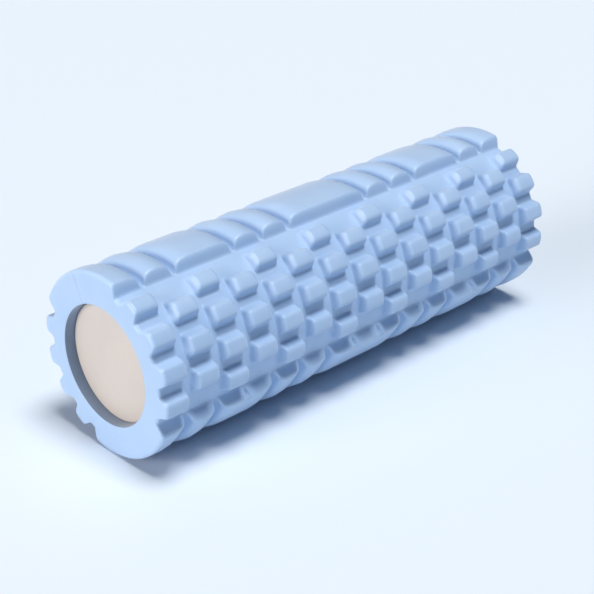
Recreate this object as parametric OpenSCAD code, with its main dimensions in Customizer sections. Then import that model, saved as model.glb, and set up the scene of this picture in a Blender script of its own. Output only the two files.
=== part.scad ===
// Textured foam roller: a moulded foam sleeve on a rigid hollow core, closed by two pressed-in caps.
// The roller lies along X on the plane Z = 0, and the origin is midway along its line of contact.
// Angles round the roller are counted from the top (+Z) towards -Y.

/* [Overall] */
// Length of the foam sleeve
roller_length = 300; // [280:2:340]
// Diameter over the pads, the largest of the roller
outer_diameter = 104.6; // [104:0.2:112]
// Diameter over the knobs
knob_diameter = 103.6; // [98:0.2:103.8]
// Diameter of the sleeve between the pads and the knobs
base_diameter = 89; // [84:1:92]
// Diameter of the hole through the sleeve, which is also the core's outer diameter
bore_diameter = 68; // [60:1:72]

/* [Knobs] */
// Length of a knob along the roller, halfway up
knob_length = 14.6; // [9:0.2:16]
// Width of a knob round the roller, halfway up
knob_width = 10.8; // [7:0.2:12]
// Slope of a knob's two end walls, in degrees from the radial direction
end_draft = 7; // [4:1:15]
// Slope of a knob's two side walls, in degrees from the radial direction
side_draft = 20; // [15:1:28]
// Angle between neighbouring knobs in one column
knob_step = 22.5; // [20:0.5:24]
// Direction of the middle of the first knob zone; the second is opposite
zone_angle = 64; // [0:1:90]

/* [Pads] */
// Half the angle that a pad's top covers
pad_top_angle = 38.5; // [30:0.5:40]
// Half the angle that a pad covers at its foot
pad_foot_angle = 42.5; // [41:0.5:45]
// Width of a groove between two pads at its mouth
groove_mouth = 6.2; // [4:0.2:8]
// Width of a groove between two pads at its floor
groove_floor = 1.8; // [1:0.2:3]
// Width of the notch in a long pad's sloping side
notch_mouth = 4.4; // [2:0.2:6]
// Width of the notch at its floor
notch_floor = 0.6; // [0.2:0.2:2]
// Depth of the notch below the pad's top
notch_depth = 5.6; // [3:0.2:6]
// Height of the groove floors over the base
groove_rise = 0.4; // [0.2:0.1:2]

/* [Core and caps] */
// Wall of the core tube
tube_wall = 3.5; // [2:0.5:5]
// Depth of a cap's face below the sleeve's end
cap_recess = 6.2; // [2:0.2:12]
// Thickness of a cap's plate
cap_plate = 3; // [2:0.5:5]
// Radius of the rounded edge of a cap's plate
cap_edge = 1.2; // [0.4:0.2:1.6]
// Length of the skirt that holds a cap in the tube
skirt_length = 12; // [6:1:25]
// Wall of the skirt
skirt_wall = 2.5; // [1.5:0.5:4]

/* [Hidden] */
$fn = 96;

foam_colour = [0.62, 0.77, 0.96];
core_colour = [0.80, 0.79, 0.77];
cap_colour = [0.86, 0.82, 0.78];

outer_r = outer_diameter / 2;
knob_r = knob_diameter / 2;
base_r = base_diameter / 2;
bore_r = bore_diameter / 2;
tube_inner_r = bore_r - tube_wall;
tube_length = roller_length - 2 * (cap_recess + cap_plate);
band_angle = zone_angle - 90;

// The relief is laid out in columns along the roller. Each number is a pad's width in columns.
pad_columns = [1, 1, 2, 1, 1, 3, 1, 1, 2, 1, 1];
columns = sum_of(pad_columns, len(pad_columns));
end_margin = 8.2;
column_pitch = (roller_length - 2 * end_margin) / (columns - 1);
groove_places = [for (n = [1:len(pad_columns) - 1]) sum_of(pad_columns, n)];
notch_places = [for (place = [1:columns - 1]) if (len(search(place, groove_places)) == 0) place];

// Knobs in a column: the columns alternate, so that neighbouring columns are staggered.
knobs_even = 4;
knobs_odd = 3;

// Angle by which a notch runs in over the pad's top edge
notch_reach = 0.5;

// Cutters pass the faces they cut by this much, and solids that are joined reach this far into each other.
overshoot = 1;

function sum_of(list, count) = count == 0 ? 0 : list[count - 1] + sum_of(list, count - 1);

// Distance from the middle of the roller to a column's middle, and to a boundary between columns.
function column_x(column) = (column - (columns - 1) / 2) * column_pitch;
function boundary_x(place) = (place - columns / 2) * column_pitch;

// A point of the cross-section, at an angle from the section's upright axis.
function polar(radius, angle) = radius * [sin(angle), cos(angle)];

// The roller's axis lies along X, one outer radius above the ground.
module on_axis() {
    translate([0, 0, outer_r]) children();
}

// Turns what points up so that it points in the given direction round the roller.
module towards(angle) {
    rotate([angle, 0, 0]) children();
}

// Turns a profile of (radius, distance along the roller) about the axis, from the top towards -Y.
module ring(x, sweep) {
    translate([x, 0, 0]) rotate([0, 90, 0]) rotate(180) rotate_extrude(angle = sweep) children();
}

module bar(radius, length) {
    rotate([0, 90, 0]) cylinder(r = radius, h = length, center = true);
}

// A slot across the roller that narrows from its mouth at the outer radius to its floor.
module slot_profile(mouth, floor_width, floor_r) {
    widen = (mouth - floor_width) / (outer_r - floor_r) * overshoot;
    top = (mouth + widen) / 2;
    polygon([
        [floor_r, -floor_width / 2],
        [outer_r + overshoot, -top],
        [outer_r + overshoot, top],
        [floor_r, floor_width / 2],
    ]);
}

// Cross-section of a pad band: a wedge of the outer circle whose two sides slope down to the base.
module pad_section() {
    foot = polar(base_r, pad_foot_angle);
    shoulder = polar(outer_r, pad_top_angle);
    slope = (shoulder - foot) / (outer_r - base_r);
    low = foot - slope * overshoot;
    high = shoulder + slope * overshoot;
    roof = outer_r * 1.5;
    intersection() {
        circle(r = outer_r);
        polygon([
            [0, 0], low, high, [high[0], roof],
            [-high[0], roof], [-high[0], high[1]], [-low[0], low[1]],
        ]);
    }
}

// The base and both pad bands, before the grooves are cut.
module banded_bar() {
    rotate([90, 0, 90]) linear_extrude(roller_length, center = true) {
        circle(r = base_r);
        for (side = [0, 180]) rotate(band_angle + side) pad_section();
    }
}

// The cuts in one pad band that points up: grooves between the pads, and the notches in the sloping
// side that faces the lower angles.
module pad_cuts() {
    reach = pad_foot_angle + 2;
    for (place = groove_places)
        towards(-reach) ring(boundary_x(place), 2 * reach)
            slot_profile(groove_mouth, groove_floor, base_r + groove_rise);
    for (place = notch_places)
        towards(-reach) ring(boundary_x(place), reach - pad_top_angle + notch_reach)
            slot_profile(notch_mouth, notch_floor, outer_r - notch_depth);
}

// One knob, pointing up: a block with four sloping sides that starts inside the base. Before and after are
// the distances from its middle to its two end walls, halfway up.
module knob(before, after) {
    low = base_r - 1.5 * overshoot;
    high = knob_r + overshoot;
    middle = (base_r + knob_r) / 2;
    half_width = knob_width / 2;
    function wall(distance, draft, radius) = distance + (middle - radius) * tan(draft);
    polyhedron(
        points = [
            for (radius = [low, high]) for (corner = [[-before, -1], [after, -1], [after, 1], [-before, 1]])
                [
                    sign(corner[0]) * wall(abs(corner[0]), end_draft, radius),
                    corner[1] * wall(half_width, side_draft, radius),
                    radius,
                ]
        ],
        faces = [[0, 1, 2, 3], [7, 6, 5, 4], [1, 0, 4, 5], [2, 1, 5, 6], [3, 2, 6, 7], [0, 3, 7, 4]]
    );
}

// A zone of knobs that points up. The knobs of the end columns run out past the sleeve's ends.
module knob_zone() {
    for (column = [0:columns - 1]) {
        count = column % 2 == 0 ? knobs_even : knobs_odd;
        before = column == 0 ? end_margin + 2 * overshoot : knob_length / 2;
        after = column == columns - 1 ? end_margin + 2 * overshoot : knob_length / 2;
        for (row = [0:count - 1])
            translate([column_x(column), 0, 0])
                towards((row - (count - 1) / 2) * knob_step) knob(before, after);
    }
}

// The foam sleeve: base, two pad bands and two knob zones, alternating every quarter turn.
module foam_sleeve() {
    color(foam_colour) on_axis() difference() {
        union() {
            difference() {
                banded_bar();
                for (side = [0, 180]) towards(band_angle + side) pad_cuts();
            }
            intersection() {
                bar(knob_r, roller_length);
                for (side = [0, 180]) towards(zone_angle + side) knob_zone();
            }
        }
        bar(bore_r, roller_length + 2 * overshoot);
    }
}

// The rigid core that the sleeve is bonded to.
module core_tube() {
    color(core_colour) on_axis() difference() {
        bar(bore_r, tube_length);
        bar(tube_inner_r, tube_length + 2 * overshoot);
    }
}

// A cap facing up: a round plate on the tube's end, with a skirt that grips inside the tube.
module end_cap() {
    skirt_inner_r = tube_inner_r - skirt_wall;
    low = -cap_plate - skirt_length;
    color(cap_colour) rotate_extrude() {
        difference() {
            translate([0, -cap_plate]) square([bore_r, cap_plate]);
            translate([bore_r - cap_edge, -cap_edge]) difference() {
                square(2 * cap_edge);
                circle(r = cap_edge);
            }
        }
        translate([skirt_inner_r, low]) square([skirt_wall, skirt_length + cap_plate / 2]);
    }
}

module end_cap_left() {
    on_axis() translate([cap_recess - roller_length / 2, 0, 0]) rotate([0, -90, 0]) end_cap();
}

module end_cap_right() {
    on_axis() translate([roller_length / 2 - cap_recess, 0, 0]) rotate([0, 90, 0]) end_cap();
}

foam_sleeve();
core_tube();
end_cap_left();
end_cap_right();
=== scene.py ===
"""Foam roller: a soft moulded sleeve, a hollow core and two recessed caps, in a plain pale studio.

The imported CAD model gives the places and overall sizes. The sleeve is rebuilt here as one fine mesh with
moulded edges and fillets, and it stands for the plain CAD sleeve. Its knobs are a little wider than the
CAD's, with side walls that slope more. Lengths are in metres and angles in degrees. Angles round the roller
are counted from the top towards -Y, where the camera is.
"""
import math

import bpy
import numpy as np
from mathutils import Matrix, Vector


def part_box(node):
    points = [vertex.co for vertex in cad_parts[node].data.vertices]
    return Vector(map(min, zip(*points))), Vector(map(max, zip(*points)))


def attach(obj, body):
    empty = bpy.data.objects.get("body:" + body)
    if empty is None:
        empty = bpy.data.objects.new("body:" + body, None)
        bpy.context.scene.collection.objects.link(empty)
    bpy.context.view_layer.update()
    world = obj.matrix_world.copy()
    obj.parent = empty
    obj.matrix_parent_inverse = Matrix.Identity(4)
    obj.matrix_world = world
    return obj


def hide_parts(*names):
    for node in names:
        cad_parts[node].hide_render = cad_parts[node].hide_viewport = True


MM = 0.001

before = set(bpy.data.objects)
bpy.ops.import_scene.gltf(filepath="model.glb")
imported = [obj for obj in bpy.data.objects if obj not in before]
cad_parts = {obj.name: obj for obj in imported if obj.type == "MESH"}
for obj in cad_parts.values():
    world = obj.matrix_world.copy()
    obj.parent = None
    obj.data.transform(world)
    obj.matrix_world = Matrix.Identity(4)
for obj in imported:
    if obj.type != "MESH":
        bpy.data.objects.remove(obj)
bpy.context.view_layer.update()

# ---------------------------------------------------------------- sizes from the frame
sleeve_low, sleeve_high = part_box("foam_sleeve")
core_low, core_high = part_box("core_tube")

LENGTH = sleeve_high.x - sleeve_low.x
OUTER_R = (sleeve_high.z - sleeve_low.z) / 2
BORE_R = (core_high.z - core_low.z) / 2
AXIS_Z = (core_high.z + core_low.z) / 2
HALF = LENGTH / 2

# ---------------------------------------------------------------- the relief
BASE_R = 44.5 * MM
KNOB_R = 51.8 * MM
PAD_RELIEF = OUTER_R - BASE_R
KNOB_RELIEF = KNOB_R - BASE_R
MIDDLE_R = (KNOB_R + BASE_R) / 2

PAD_COLUMNS = (1, 1, 2, 1, 1, 3, 1, 1, 2, 1, 1)  # each pad's width in columns
COLUMNS = sum(PAD_COLUMNS)
END_MARGIN = 8.2 * MM
PITCH = (LENGTH - 2 * END_MARGIN) / (COLUMNS - 1)

ZONE_ANGLE = 64.0  # middle of the first knob zone; the second is opposite
BAND_ANGLE = ZONE_ANGLE - 90  # middle of the first pad band
KNOB_STEP = 22.5  # between neighbouring knobs of one column
KNOB_LENGTH = 14.6 * MM
KNOB_WIDTH = 11.4 * MM  # halfway up
END_DRAFT = 7.0  # slope of a knob's two end walls, in degrees from the radial direction
SIDE_DRAFT = 26.0  # slope of a knob's two side walls
MOULD_LEAN = 0.25  # outer side walls lean further by this share of the knob's angle from its zone's middle
KNOB_DOME = 0.8 * MM  # how far a knob's top falls towards its sides
DOME_LIMIT = 1.5  # the fall stops growing at this multiple of KNOB_DOME, beyond the knob's sides

PAD_TOP_ANGLE = 38.5
PAD_FOOT_ANGLE = 42.5
PAD_CROWN = 1.7 * MM  # how far a pad's top falls towards its ends
CROWN_REACH = 6.8 * MM  # length of the falling part
CROWN_LIMIT = 1.2  # the fall stops growing inside a groove, at this share of the reach
GROOVE_MOUTH = 6.2 * MM
GROOVE_FLOOR = 1.8 * MM
GROOVE_RISE = 0.4 * MM
NOTCH_MOUTH = 4.4 * MM
NOTCH_FLOOR = 0.6 * MM
NOTCH_DEPTH = 5.6 * MM
NOTCH_END_SLOPE = 4.0 * MM  # how fast a notch ends at the pad's top edge, per degree

EDGE_ROUND = 1.7 * MM  # radius along the top edges of a knob
FOOT_FILLET = 0.8 * MM  # radius along the foot of a knob
TOP_BLEND = 2.6 * MM  # blend width along the top edges of a pad
FOOT_BLEND = 1.2 * MM  # blend width where the relief meets the base
END_ROUND = 2.0 * MM  # radius of the sleeve's end edges
RIM_ROUND = 0.5 * MM  # radius of the bore's edge
SEAM_WIDTH = 0.5 * MM
SEAM_DEPTH = 0.3 * MM

SEAM_ANGLE = math.degrees(SEAM_WIDTH / 2 / OUTER_R)  # half the seam's width

# ---------------------------------------------------------------- fineness of the sleeve's mesh
FINE_ANGLE = KNOB_STEP / 24  # between the mesh's lengthwise lines in the knob zones
PAD_ROUND_ANGLE = 3.5  # the fine lines run this far over a pad's top
PAD_STEPS = (9, 1, 1, 9)  # steps over a pad's top, before, over and after the seam
COLUMN_STEPS = (1, 1, 6, 4, 6, 1, 1)  # steps along a column, from one boundary over the knob to the next
TOP_EDGE_REACH = 1.1 * EDGE_ROUND  # the fine rings start this far inside a knob's end walls
BEND_POINTS = 7  # points on each rounded edge or foot of a knob's wall
END_RINGS = 6  # rings on the sleeve's rounded end edge
END_GAP = 0.3 * MM  # least gap between that edge and the next ring
FACE_STEPS = 7  # steps down an end face
RIM_RINGS = 4  # rings on the bore's rounded edge
BORE_STEPS = 11  # steps through the bore
ON_FACE = 0.01 * MM  # points this near to an end face are on it


def column_x(column):
    return (column - (COLUMNS - 1) / 2) * PITCH


def boundary_x(place):
    return (place - COLUMNS / 2) * PITCH


def knobs_in(column):
    return 4 if column % 2 == 0 else 3


GROOVES = [boundary_x(sum(PAD_COLUMNS[:n])) for n in range(1, len(PAD_COLUMNS))]
NOTCHES = [
    boundary_x(place)
    for place in range(1, COLUMNS)
    if all(abs(boundary_x(place) - x) > PITCH / 2 for x in GROOVES)
]


def smooth_max(a, b, width):
    """The larger of two heights, with the crease between them filled over the given width."""
    share = np.maximum(width - np.abs(a - b), 0) / width
    return np.maximum(a, b) + share * share * width / 4


def smooth_min(a, b, width):
    return -smooth_max(-a, -b, width)


def turn(angle):
    """An angle, or an array of them, brought between -180 and 180."""
    return (angle + 180) % 360 - 180


def arc(angle, radius):
    return np.radians(angle) * radius


def wall_share(distance, draft):
    """Height of a knob's wall as a share of the knob's, from a rounded top edge down to a filleted foot.

    The distance is measured outwards from the wall's place halfway up, and draft is in degrees."""
    lean = math.radians(draft)
    bend = np.linspace(0, math.pi / 2 - lean, BEND_POINTS)
    top_centre = math.tan(lean) * (EDGE_ROUND * (1 - math.sin(lean)) - KNOB_RELIEF / 2)
    top_centre -= EDGE_ROUND * math.cos(lean)
    top_x = top_centre + EDGE_ROUND * np.sin(bend)
    top_z = KNOB_RELIEF - EDGE_ROUND * (1 - np.cos(bend))
    foot_centre = math.tan(lean) * (KNOB_RELIEF / 2 - FOOT_FILLET * (1 - math.sin(lean)))
    foot_centre += FOOT_FILLET * math.cos(lean)
    foot_x = foot_centre - FOOT_FILLET * np.sin(bend[::-1])
    foot_z = FOOT_FILLET * (1 - np.cos(bend[::-1]))
    places = np.concatenate([top_x, foot_x])
    return np.interp(distance, places, np.concatenate([top_z, foot_z])) / KNOB_RELIEF


def knob_height(along, around, offset, column):
    """Height of a knob over the base; along is in metres and around in degrees from its middle, and offset is
    the angle from the middle of its zone. The knobs of the end columns run out to the sleeve's ends."""
    before = wall_share(-along - KNOB_LENGTH / 2, END_DRAFT)
    after = wall_share(along - KNOB_LENGTH / 2, END_DRAFT)
    if column == 0:
        before = np.ones_like(along)
    if column == COLUMNS - 1:
        after = np.ones_like(along)
    aside = arc(around, MIDDLE_R)
    upper = wall_share(-aside - KNOB_WIDTH / 2, SIDE_DRAFT - MOULD_LEAN * offset)
    lower = wall_share(aside - KNOB_WIDTH / 2, SIDE_DRAFT + MOULD_LEAN * offset)
    dome = 1 - np.minimum(np.square(aside / (KNOB_WIDTH / 2)), DOME_LIMIT) * KNOB_DOME / KNOB_RELIEF
    return KNOB_RELIEF * before * after * upper * lower * dome


def slot_height(along, mouth, floor_width, floor_height):
    """Height of a cut across the roller, which opens from its floor to its mouth at the top."""
    slope = (PAD_RELIEF - floor_height) / ((mouth - floor_width) / 2)
    side = floor_height + (np.abs(along) - floor_width / 2) * slope
    return smooth_max(np.full_like(side, floor_height), side, FOOT_BLEND)


def crown_drop(x):
    """How far the pads' tops have fallen at each place: each pad is crowned between its two grooves."""
    nearest = np.min([np.abs(x - centre) for centre in GROOVES], axis=0)
    share = np.clip(1 - (nearest - GROOVE_MOUTH / 2) / CROWN_REACH, 0, CROWN_LIMIT)
    return PAD_CROWN * share * share


def band_height(x, around):
    """Height over the base of a pad band centred at zero degrees."""
    side = PAD_RELIEF * (PAD_FOOT_ANGLE - np.abs(around)) / (PAD_FOOT_ANGLE - PAD_TOP_ANGLE)
    height = smooth_min(PAD_RELIEF - crown_drop(x), side, TOP_BLEND)
    for centre in GROOVES:
        cut = slot_height(x - centre, GROOVE_MOUTH, GROOVE_FLOOR, GROOVE_RISE)
        height = smooth_min(height, cut, TOP_BLEND)
    for centre in NOTCHES:
        cut = slot_height(x - centre, NOTCH_MOUTH, NOTCH_FLOOR, PAD_RELIEF - NOTCH_DEPTH)
        end_wall = (around + PAD_TOP_ANGLE) * NOTCH_END_SLOPE + PAD_RELIEF - NOTCH_DEPTH
        height = smooth_min(height, np.maximum(cut, end_wall), TOP_BLEND / 2)
    return height


def relief_height(x, angle):
    """Height of the sleeve's surface over its base radius."""
    height = np.zeros_like(x)
    for side in (0, 180):
        around = turn(angle - BAND_ANGLE - side)
        height = smooth_max(height, band_height(x, around), FOOT_BLEND)
        for column in range(COLUMNS):
            count = knobs_in(column)
            near = np.abs(x[:, 0] - column_x(column)) < PITCH
            for row in range(count):
                offset = (row - (count - 1) / 2) * KNOB_STEP
                from_middle = turn(angle[near] - ZONE_ANGLE - side - offset)
                knob = knob_height(x[near] - column_x(column), from_middle, offset, column)
                height[near] = smooth_max(height[near], knob, FOOT_BLEND)
    return height


# ---------------------------------------------------------------- the sleeve's mesh
def crowded(marks, steps):
    """Lines through the marks, with the given number of steps between each pair, closer near the marks."""
    lines = []
    for low, high, count in zip(marks[:-1], marks[1:], steps):
        share = (1 - np.cos(np.linspace(0, math.pi, count + 1)[:-1])) / 2
        lines += list(low + (high - low) * share)
    return lines + [marks[-1]]


def lines_along():
    """Places of the mesh's rings between the two rounded end edges."""
    flat_edge = KNOB_LENGTH / 2 - TOP_EDGE_REACH
    foot_edge = KNOB_LENGTH / 2 + FOOT_FILLET
    floor_edge = (PITCH - GROOVE_FLOOR) / 2
    marks = [-PITCH / 2, -floor_edge, -foot_edge, -flat_edge, flat_edge, foot_edge, floor_edge, PITCH / 2]
    one = np.array(crowded(marks, COLUMN_STEPS)[:-1])
    every = np.concatenate([column_x(column) + one for column in range(COLUMNS)])
    return every[np.abs(every) < HALF - END_ROUND - END_GAP]


def lines_around():
    """Angles of the mesh's lengthwise lines, for a whole turn."""
    fine_lines = math.ceil((90 - PAD_TOP_ANGLE + PAD_ROUND_ANGLE) / FINE_ANGLE)
    shoulder = fine_lines * FINE_ANGLE
    zone = list(np.arange(-fine_lines, fine_lines) * FINE_ANGLE)
    pad = crowded([shoulder, 90 - SEAM_ANGLE, 90, 90 + SEAM_ANGLE, 180 - shoulder], PAD_STEPS)[:-1]
    half_turn = np.array(zone + pad) + ZONE_ANGLE
    return np.concatenate([half_turn, half_turn + 180])


def sleeve_rings(angle):
    """The sleeve's closed profile as (x, radius) rings: over the relief, down the right end face, back
    through the bore, and up the left end face. Each ring holds one value for every angle."""
    bend = np.radians(np.linspace(0, 90, END_RINGS))
    rounded = HALF - END_ROUND * (1 - np.cos(bend))
    end_drop = END_ROUND * (1 - np.sin(bend))
    between = lines_along()
    outer_x = np.concatenate([-rounded, between, rounded[::-1]])
    drop = np.concatenate([end_drop, np.zeros_like(between), end_drop[::-1]])
    x = np.repeat(outer_x[:, None], len(angle), axis=1)
    radius = BASE_R + relief_height(x, np.repeat(angle[None, :], len(outer_x), axis=0)) - drop[:, None]

    share = np.linspace(0, 1, FACE_STEPS + 1)[1:-1, None]
    rim = BORE_R + RIM_ROUND
    face_r = radius[-1] * (1 - share) + rim * share
    face_x = np.full_like(face_r, HALF)
    curl = np.radians(np.linspace(0, 90, RIM_RINGS))
    rim_x = HALF - RIM_ROUND * (1 - np.cos(curl))
    rim_r = rim - RIM_ROUND * np.sin(curl)
    bore_x = np.linspace(HALF - RIM_ROUND, RIM_ROUND - HALF, BORE_STEPS + 1)[1:-1]
    hole_x = np.concatenate([rim_x, bore_x, -rim_x[::-1]])
    hole_r = np.concatenate([rim_r, np.full_like(bore_x, BORE_R), rim_r[::-1]])
    hole = [np.repeat(values[:, None], len(angle), axis=1) for values in (hole_x, hole_r)]

    x = np.concatenate([x, face_x, hole[0], -face_x])
    radius = np.concatenate([radius, face_r, hole[1], face_r[::-1]])
    seam = np.maximum(0, 1 - np.abs(turn(angle - BAND_ANGLE)) / SEAM_ANGLE)
    on_end = np.abs(x) > HALF - ON_FACE
    on_top = radius > BASE_R + PAD_RELIEF / 2
    x = np.where(on_end, x - np.sign(x) * SEAM_DEPTH * seam, x)
    radius = np.where(on_top, radius - SEAM_DEPTH * seam, radius)
    return x, radius


def build_sleeve():
    angle = lines_around()
    x, radius = sleeve_rings(angle)
    across = -radius * np.sin(np.radians(angle))
    up = AXIS_Z + radius * np.cos(np.radians(angle))
    points = np.stack([x, across, up], axis=-1).reshape(-1, 3)
    rings, lines = x.shape
    here = np.arange(rings * lines).reshape(rings, lines)
    after = np.roll(here, -1, axis=0)
    quads = np.stack([here, np.roll(here, -1, axis=1), np.roll(after, -1, axis=1), after], axis=-1)
    mesh = bpy.data.meshes.new("sleeve")
    mesh.from_pydata(points.tolist(), [], quads.reshape(-1, 4).tolist())
    mesh.validate()
    mesh.shade_smooth()
    sleeve = bpy.data.objects.new("sleeve", mesh)
    bpy.context.scene.collection.objects.link(sleeve)
    return sleeve


# ---------------------------------------------------------------- materials
def new_material(name, colour, roughness):
    material = bpy.data.materials.new(name)
    material.use_nodes = True
    shader = material.node_tree.nodes["Principled BSDF"]
    shader.inputs["Base Color"].default_value = (*colour, 1)
    shader.inputs["Roughness"].default_value = roughness
    return material, shader


def noise(tree, scale, detail, roughness=0.5):
    """A noise pattern in the object's own coordinates; scale is in ripples per metre."""
    place = tree.nodes.new("ShaderNodeTexCoord")
    pattern = tree.nodes.new("ShaderNodeTexNoise")
    pattern.inputs["Scale"].default_value = scale
    pattern.inputs["Detail"].default_value = detail
    pattern.inputs["Roughness"].default_value = roughness
    tree.links.new(place.outputs["Object"], pattern.inputs["Vector"])
    return pattern.outputs["Fac"]


def ramp(tree, value, low, high):
    """Colours or greys from low to high as the value goes through the middle of a noise's range."""
    colours = tree.nodes.new("ShaderNodeValToRGB")
    colours.color_ramp.elements[0].position = 0.3
    colours.color_ramp.elements[1].position = 0.7
    colours.color_ramp.elements[0].color = (*low, 1)
    colours.color_ramp.elements[1].color = (*high, 1)
    tree.links.new(value, colours.inputs["Fac"])
    return colours.outputs["Color"]


def bump(tree, shader, layers):
    """Stacks bump layers, each (height, distance in metres, strength)."""
    normal = None
    for height, distance, strength in layers:
        layer = tree.nodes.new("ShaderNodeBump")
        layer.inputs["Distance"].default_value = distance
        layer.inputs["Strength"].default_value = strength
        tree.links.new(height, layer.inputs["Height"])
        if normal:
            tree.links.new(normal, layer.inputs["Normal"])
        normal = layer.outputs["Normal"]
    tree.links.new(normal, shader.inputs["Normal"])


def in_bore(tree):
    """1 on the wall of the sleeve's bore and 0 elsewhere."""
    place = tree.nodes.new("ShaderNodeTexCoord")
    across = tree.nodes.new("ShaderNodeVectorMath")
    across.operation = "MULTIPLY_ADD"
    across.inputs[1].default_value = (0, 1, 1)
    across.inputs[2].default_value = (0, 0, -AXIS_Z)
    distance = tree.nodes.new("ShaderNodeVectorMath")
    distance.operation = "LENGTH"
    inside = tree.nodes.new("ShaderNodeMath")
    inside.operation = "LESS_THAN"
    inside.inputs[1].default_value = BORE_R + RIM_ROUND / 4
    tree.links.new(place.outputs["Object"], across.inputs[0])
    tree.links.new(across.outputs["Vector"], distance.inputs[0])
    tree.links.new(distance.outputs["Value"], inside.inputs[0])
    return inside.outputs["Value"]


def foam_material():
    """Light blue closed-cell foam: a moulded skin with a fine grain and a soft sheen, and painted shade on
    the bore.
    """
    material, shader = new_material("foam", (0.372, 0.556, 0.835), 0.40)
    tree = material.node_tree
    tone = ramp(tree, noise(tree, 45, 2), (0.358, 0.541, 0.823), (0.386, 0.571, 0.847))
    # painted shade: the bore's wall gets a dark blue colour that stands in for the shade inside the recessed
    # end
    bore_painted_shade = tree.nodes.new("ShaderNodeMix")
    bore_painted_shade.data_type = "RGBA"
    bore_painted_shade.inputs["B"].default_value = (0.17, 0.245, 0.37, 1)
    tree.links.new(in_bore(tree), bore_painted_shade.inputs["Factor"])
    tree.links.new(tone, bore_painted_shade.inputs["A"])
    tree.links.new(bore_painted_shade.outputs["Result"], shader.inputs["Base Color"])
    gloss = ramp(tree, noise(tree, 160, 3), (0.36,) * 3, (0.46,) * 3)
    tree.links.new(gloss, shader.inputs["Roughness"])
    shader.inputs["Sheen Weight"].default_value = 0.4
    shader.inputs["Sheen Roughness"].default_value = 0.5
    shader.inputs["Sheen Tint"].default_value = (0.95, 0.97, 1, 1)
    grain = noise(tree, 2600, 2, 0.6)
    waves = noise(tree, 220, 2)
    bump(tree, shader, [(waves, 0.25 * MM, 0.25), (grain, 0.06 * MM, 0.35)])
    return material


def cap_material():
    """Cream moulded plastic with a fine spark-eroded texture."""
    material, shader = new_material("cap", (0.575, 0.545, 0.52), 0.55)
    tree = material.node_tree
    tone = ramp(tree, noise(tree, 60, 2), (0.56, 0.535, 0.51), (0.59, 0.555, 0.53))
    tree.links.new(tone, shader.inputs["Base Color"])
    gloss = ramp(tree, noise(tree, 900, 3), (0.5,) * 3, (0.62,) * 3)
    tree.links.new(gloss, shader.inputs["Roughness"])
    bump(tree, shader, [(noise(tree, 3200, 2, 0.6), 0.04 * MM, 0.3)])
    return material


def core_material():
    """Plain extruded plastic with faint lines along the extrusion."""
    material, shader = new_material("core", (0.6, 0.59, 0.56), 0.6)
    tree = material.node_tree
    tone = ramp(tree, noise(tree, 80, 2), (0.57, 0.56, 0.53), (0.62, 0.61, 0.58))
    tree.links.new(tone, shader.inputs["Base Color"])
    bump(tree, shader, [(noise(tree, 900, 2), 0.05 * MM, 0.3)])
    return material


def paint(piece, material):
    piece.data.materials.clear()
    piece.data.materials.append(material)


# ---------------------------------------------------------------- the studio
FLOOR_SIZE = 8.0
BACKGROUND = (0.69, 0.80, 0.915)


def build_floor():
    bpy.ops.mesh.primitive_plane_add(size=FLOOR_SIZE, location=(0, 0, 0))
    floor = bpy.context.object
    floor.name = "floor"
    material, shader = new_material("floor", BACKGROUND, 0.9)
    shader.inputs["Specular IOR Level"].default_value = 0.1
    paint(floor, material)


def soft_sun(name, towards, spread, strength, colour):
    """A very large, far soft box: even light from one side, whose shadows blur with its spread in degrees."""
    lamp = bpy.data.lights.new(name, "SUN")
    lamp.angle = math.radians(spread)
    lamp.energy = strength
    lamp.color = colour
    lamp_object = bpy.data.objects.new(name, lamp)
    bpy.context.scene.collection.objects.link(lamp_object)
    lamp_object.rotation_euler = (-Vector(towards)).to_track_quat("-Z", "Y").to_euler()


def build_lights():
    soft_sun("overhead", towards=(0.04, -0.2, 1), spread=24, strength=2.9, colour=(1, 0.96, 0.93))
    soft_sun("side", towards=(-1, 0.12, 0.24), spread=34, strength=2.65, colour=(1, 0.88, 0.79))
    world = bpy.data.worlds.new("studio")
    world.use_nodes = True
    sky = world.node_tree.nodes["Background"]
    sky.inputs["Color"].default_value = (0.88, 0.92, 1, 1)
    sky.inputs["Strength"].default_value = 0.10
    bpy.context.scene.world = world


CAMERA_PLACE = (-0.5355, -0.5491, 0.4337)
CAMERA_HEADING = 46.35  # degrees from +X towards +Y
CAMERA_DIP = 27.21  # degrees below the horizon
CAMERA_LENS = 89.5  # focal length and sensor width are in millimetres
CAMERA_SENSOR = 36


def build_camera():
    camera = bpy.data.cameras.new("camera")
    camera.lens = CAMERA_LENS
    camera.sensor_width = CAMERA_SENSOR
    camera_object = bpy.data.objects.new("camera", camera)
    bpy.context.scene.collection.objects.link(camera_object)
    heading, dip = math.radians(CAMERA_HEADING), math.radians(CAMERA_DIP)
    aim = Vector((math.cos(heading) * math.cos(dip), math.sin(heading) * math.cos(dip), -math.sin(dip)))
    camera_object.location = CAMERA_PLACE
    camera_object.rotation_euler = aim.to_track_quat("-Z", "Y").to_euler()
    bpy.context.scene.camera = camera_object


# ---------------------------------------------------------------- putting it together
build_camera()
build_lights()
build_floor()

sleeve = build_sleeve()
paint(sleeve, foam_material())
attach(sleeve, "root")
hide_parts("foam_sleeve")

paint(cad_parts["core_tube"], core_material())
cap_finish = cap_material()
for name in ("end_cap_left", "end_cap_right"):
    paint(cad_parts[name], cap_finish)

bpy.context.scene.view_settings.view_transform = "Standard"
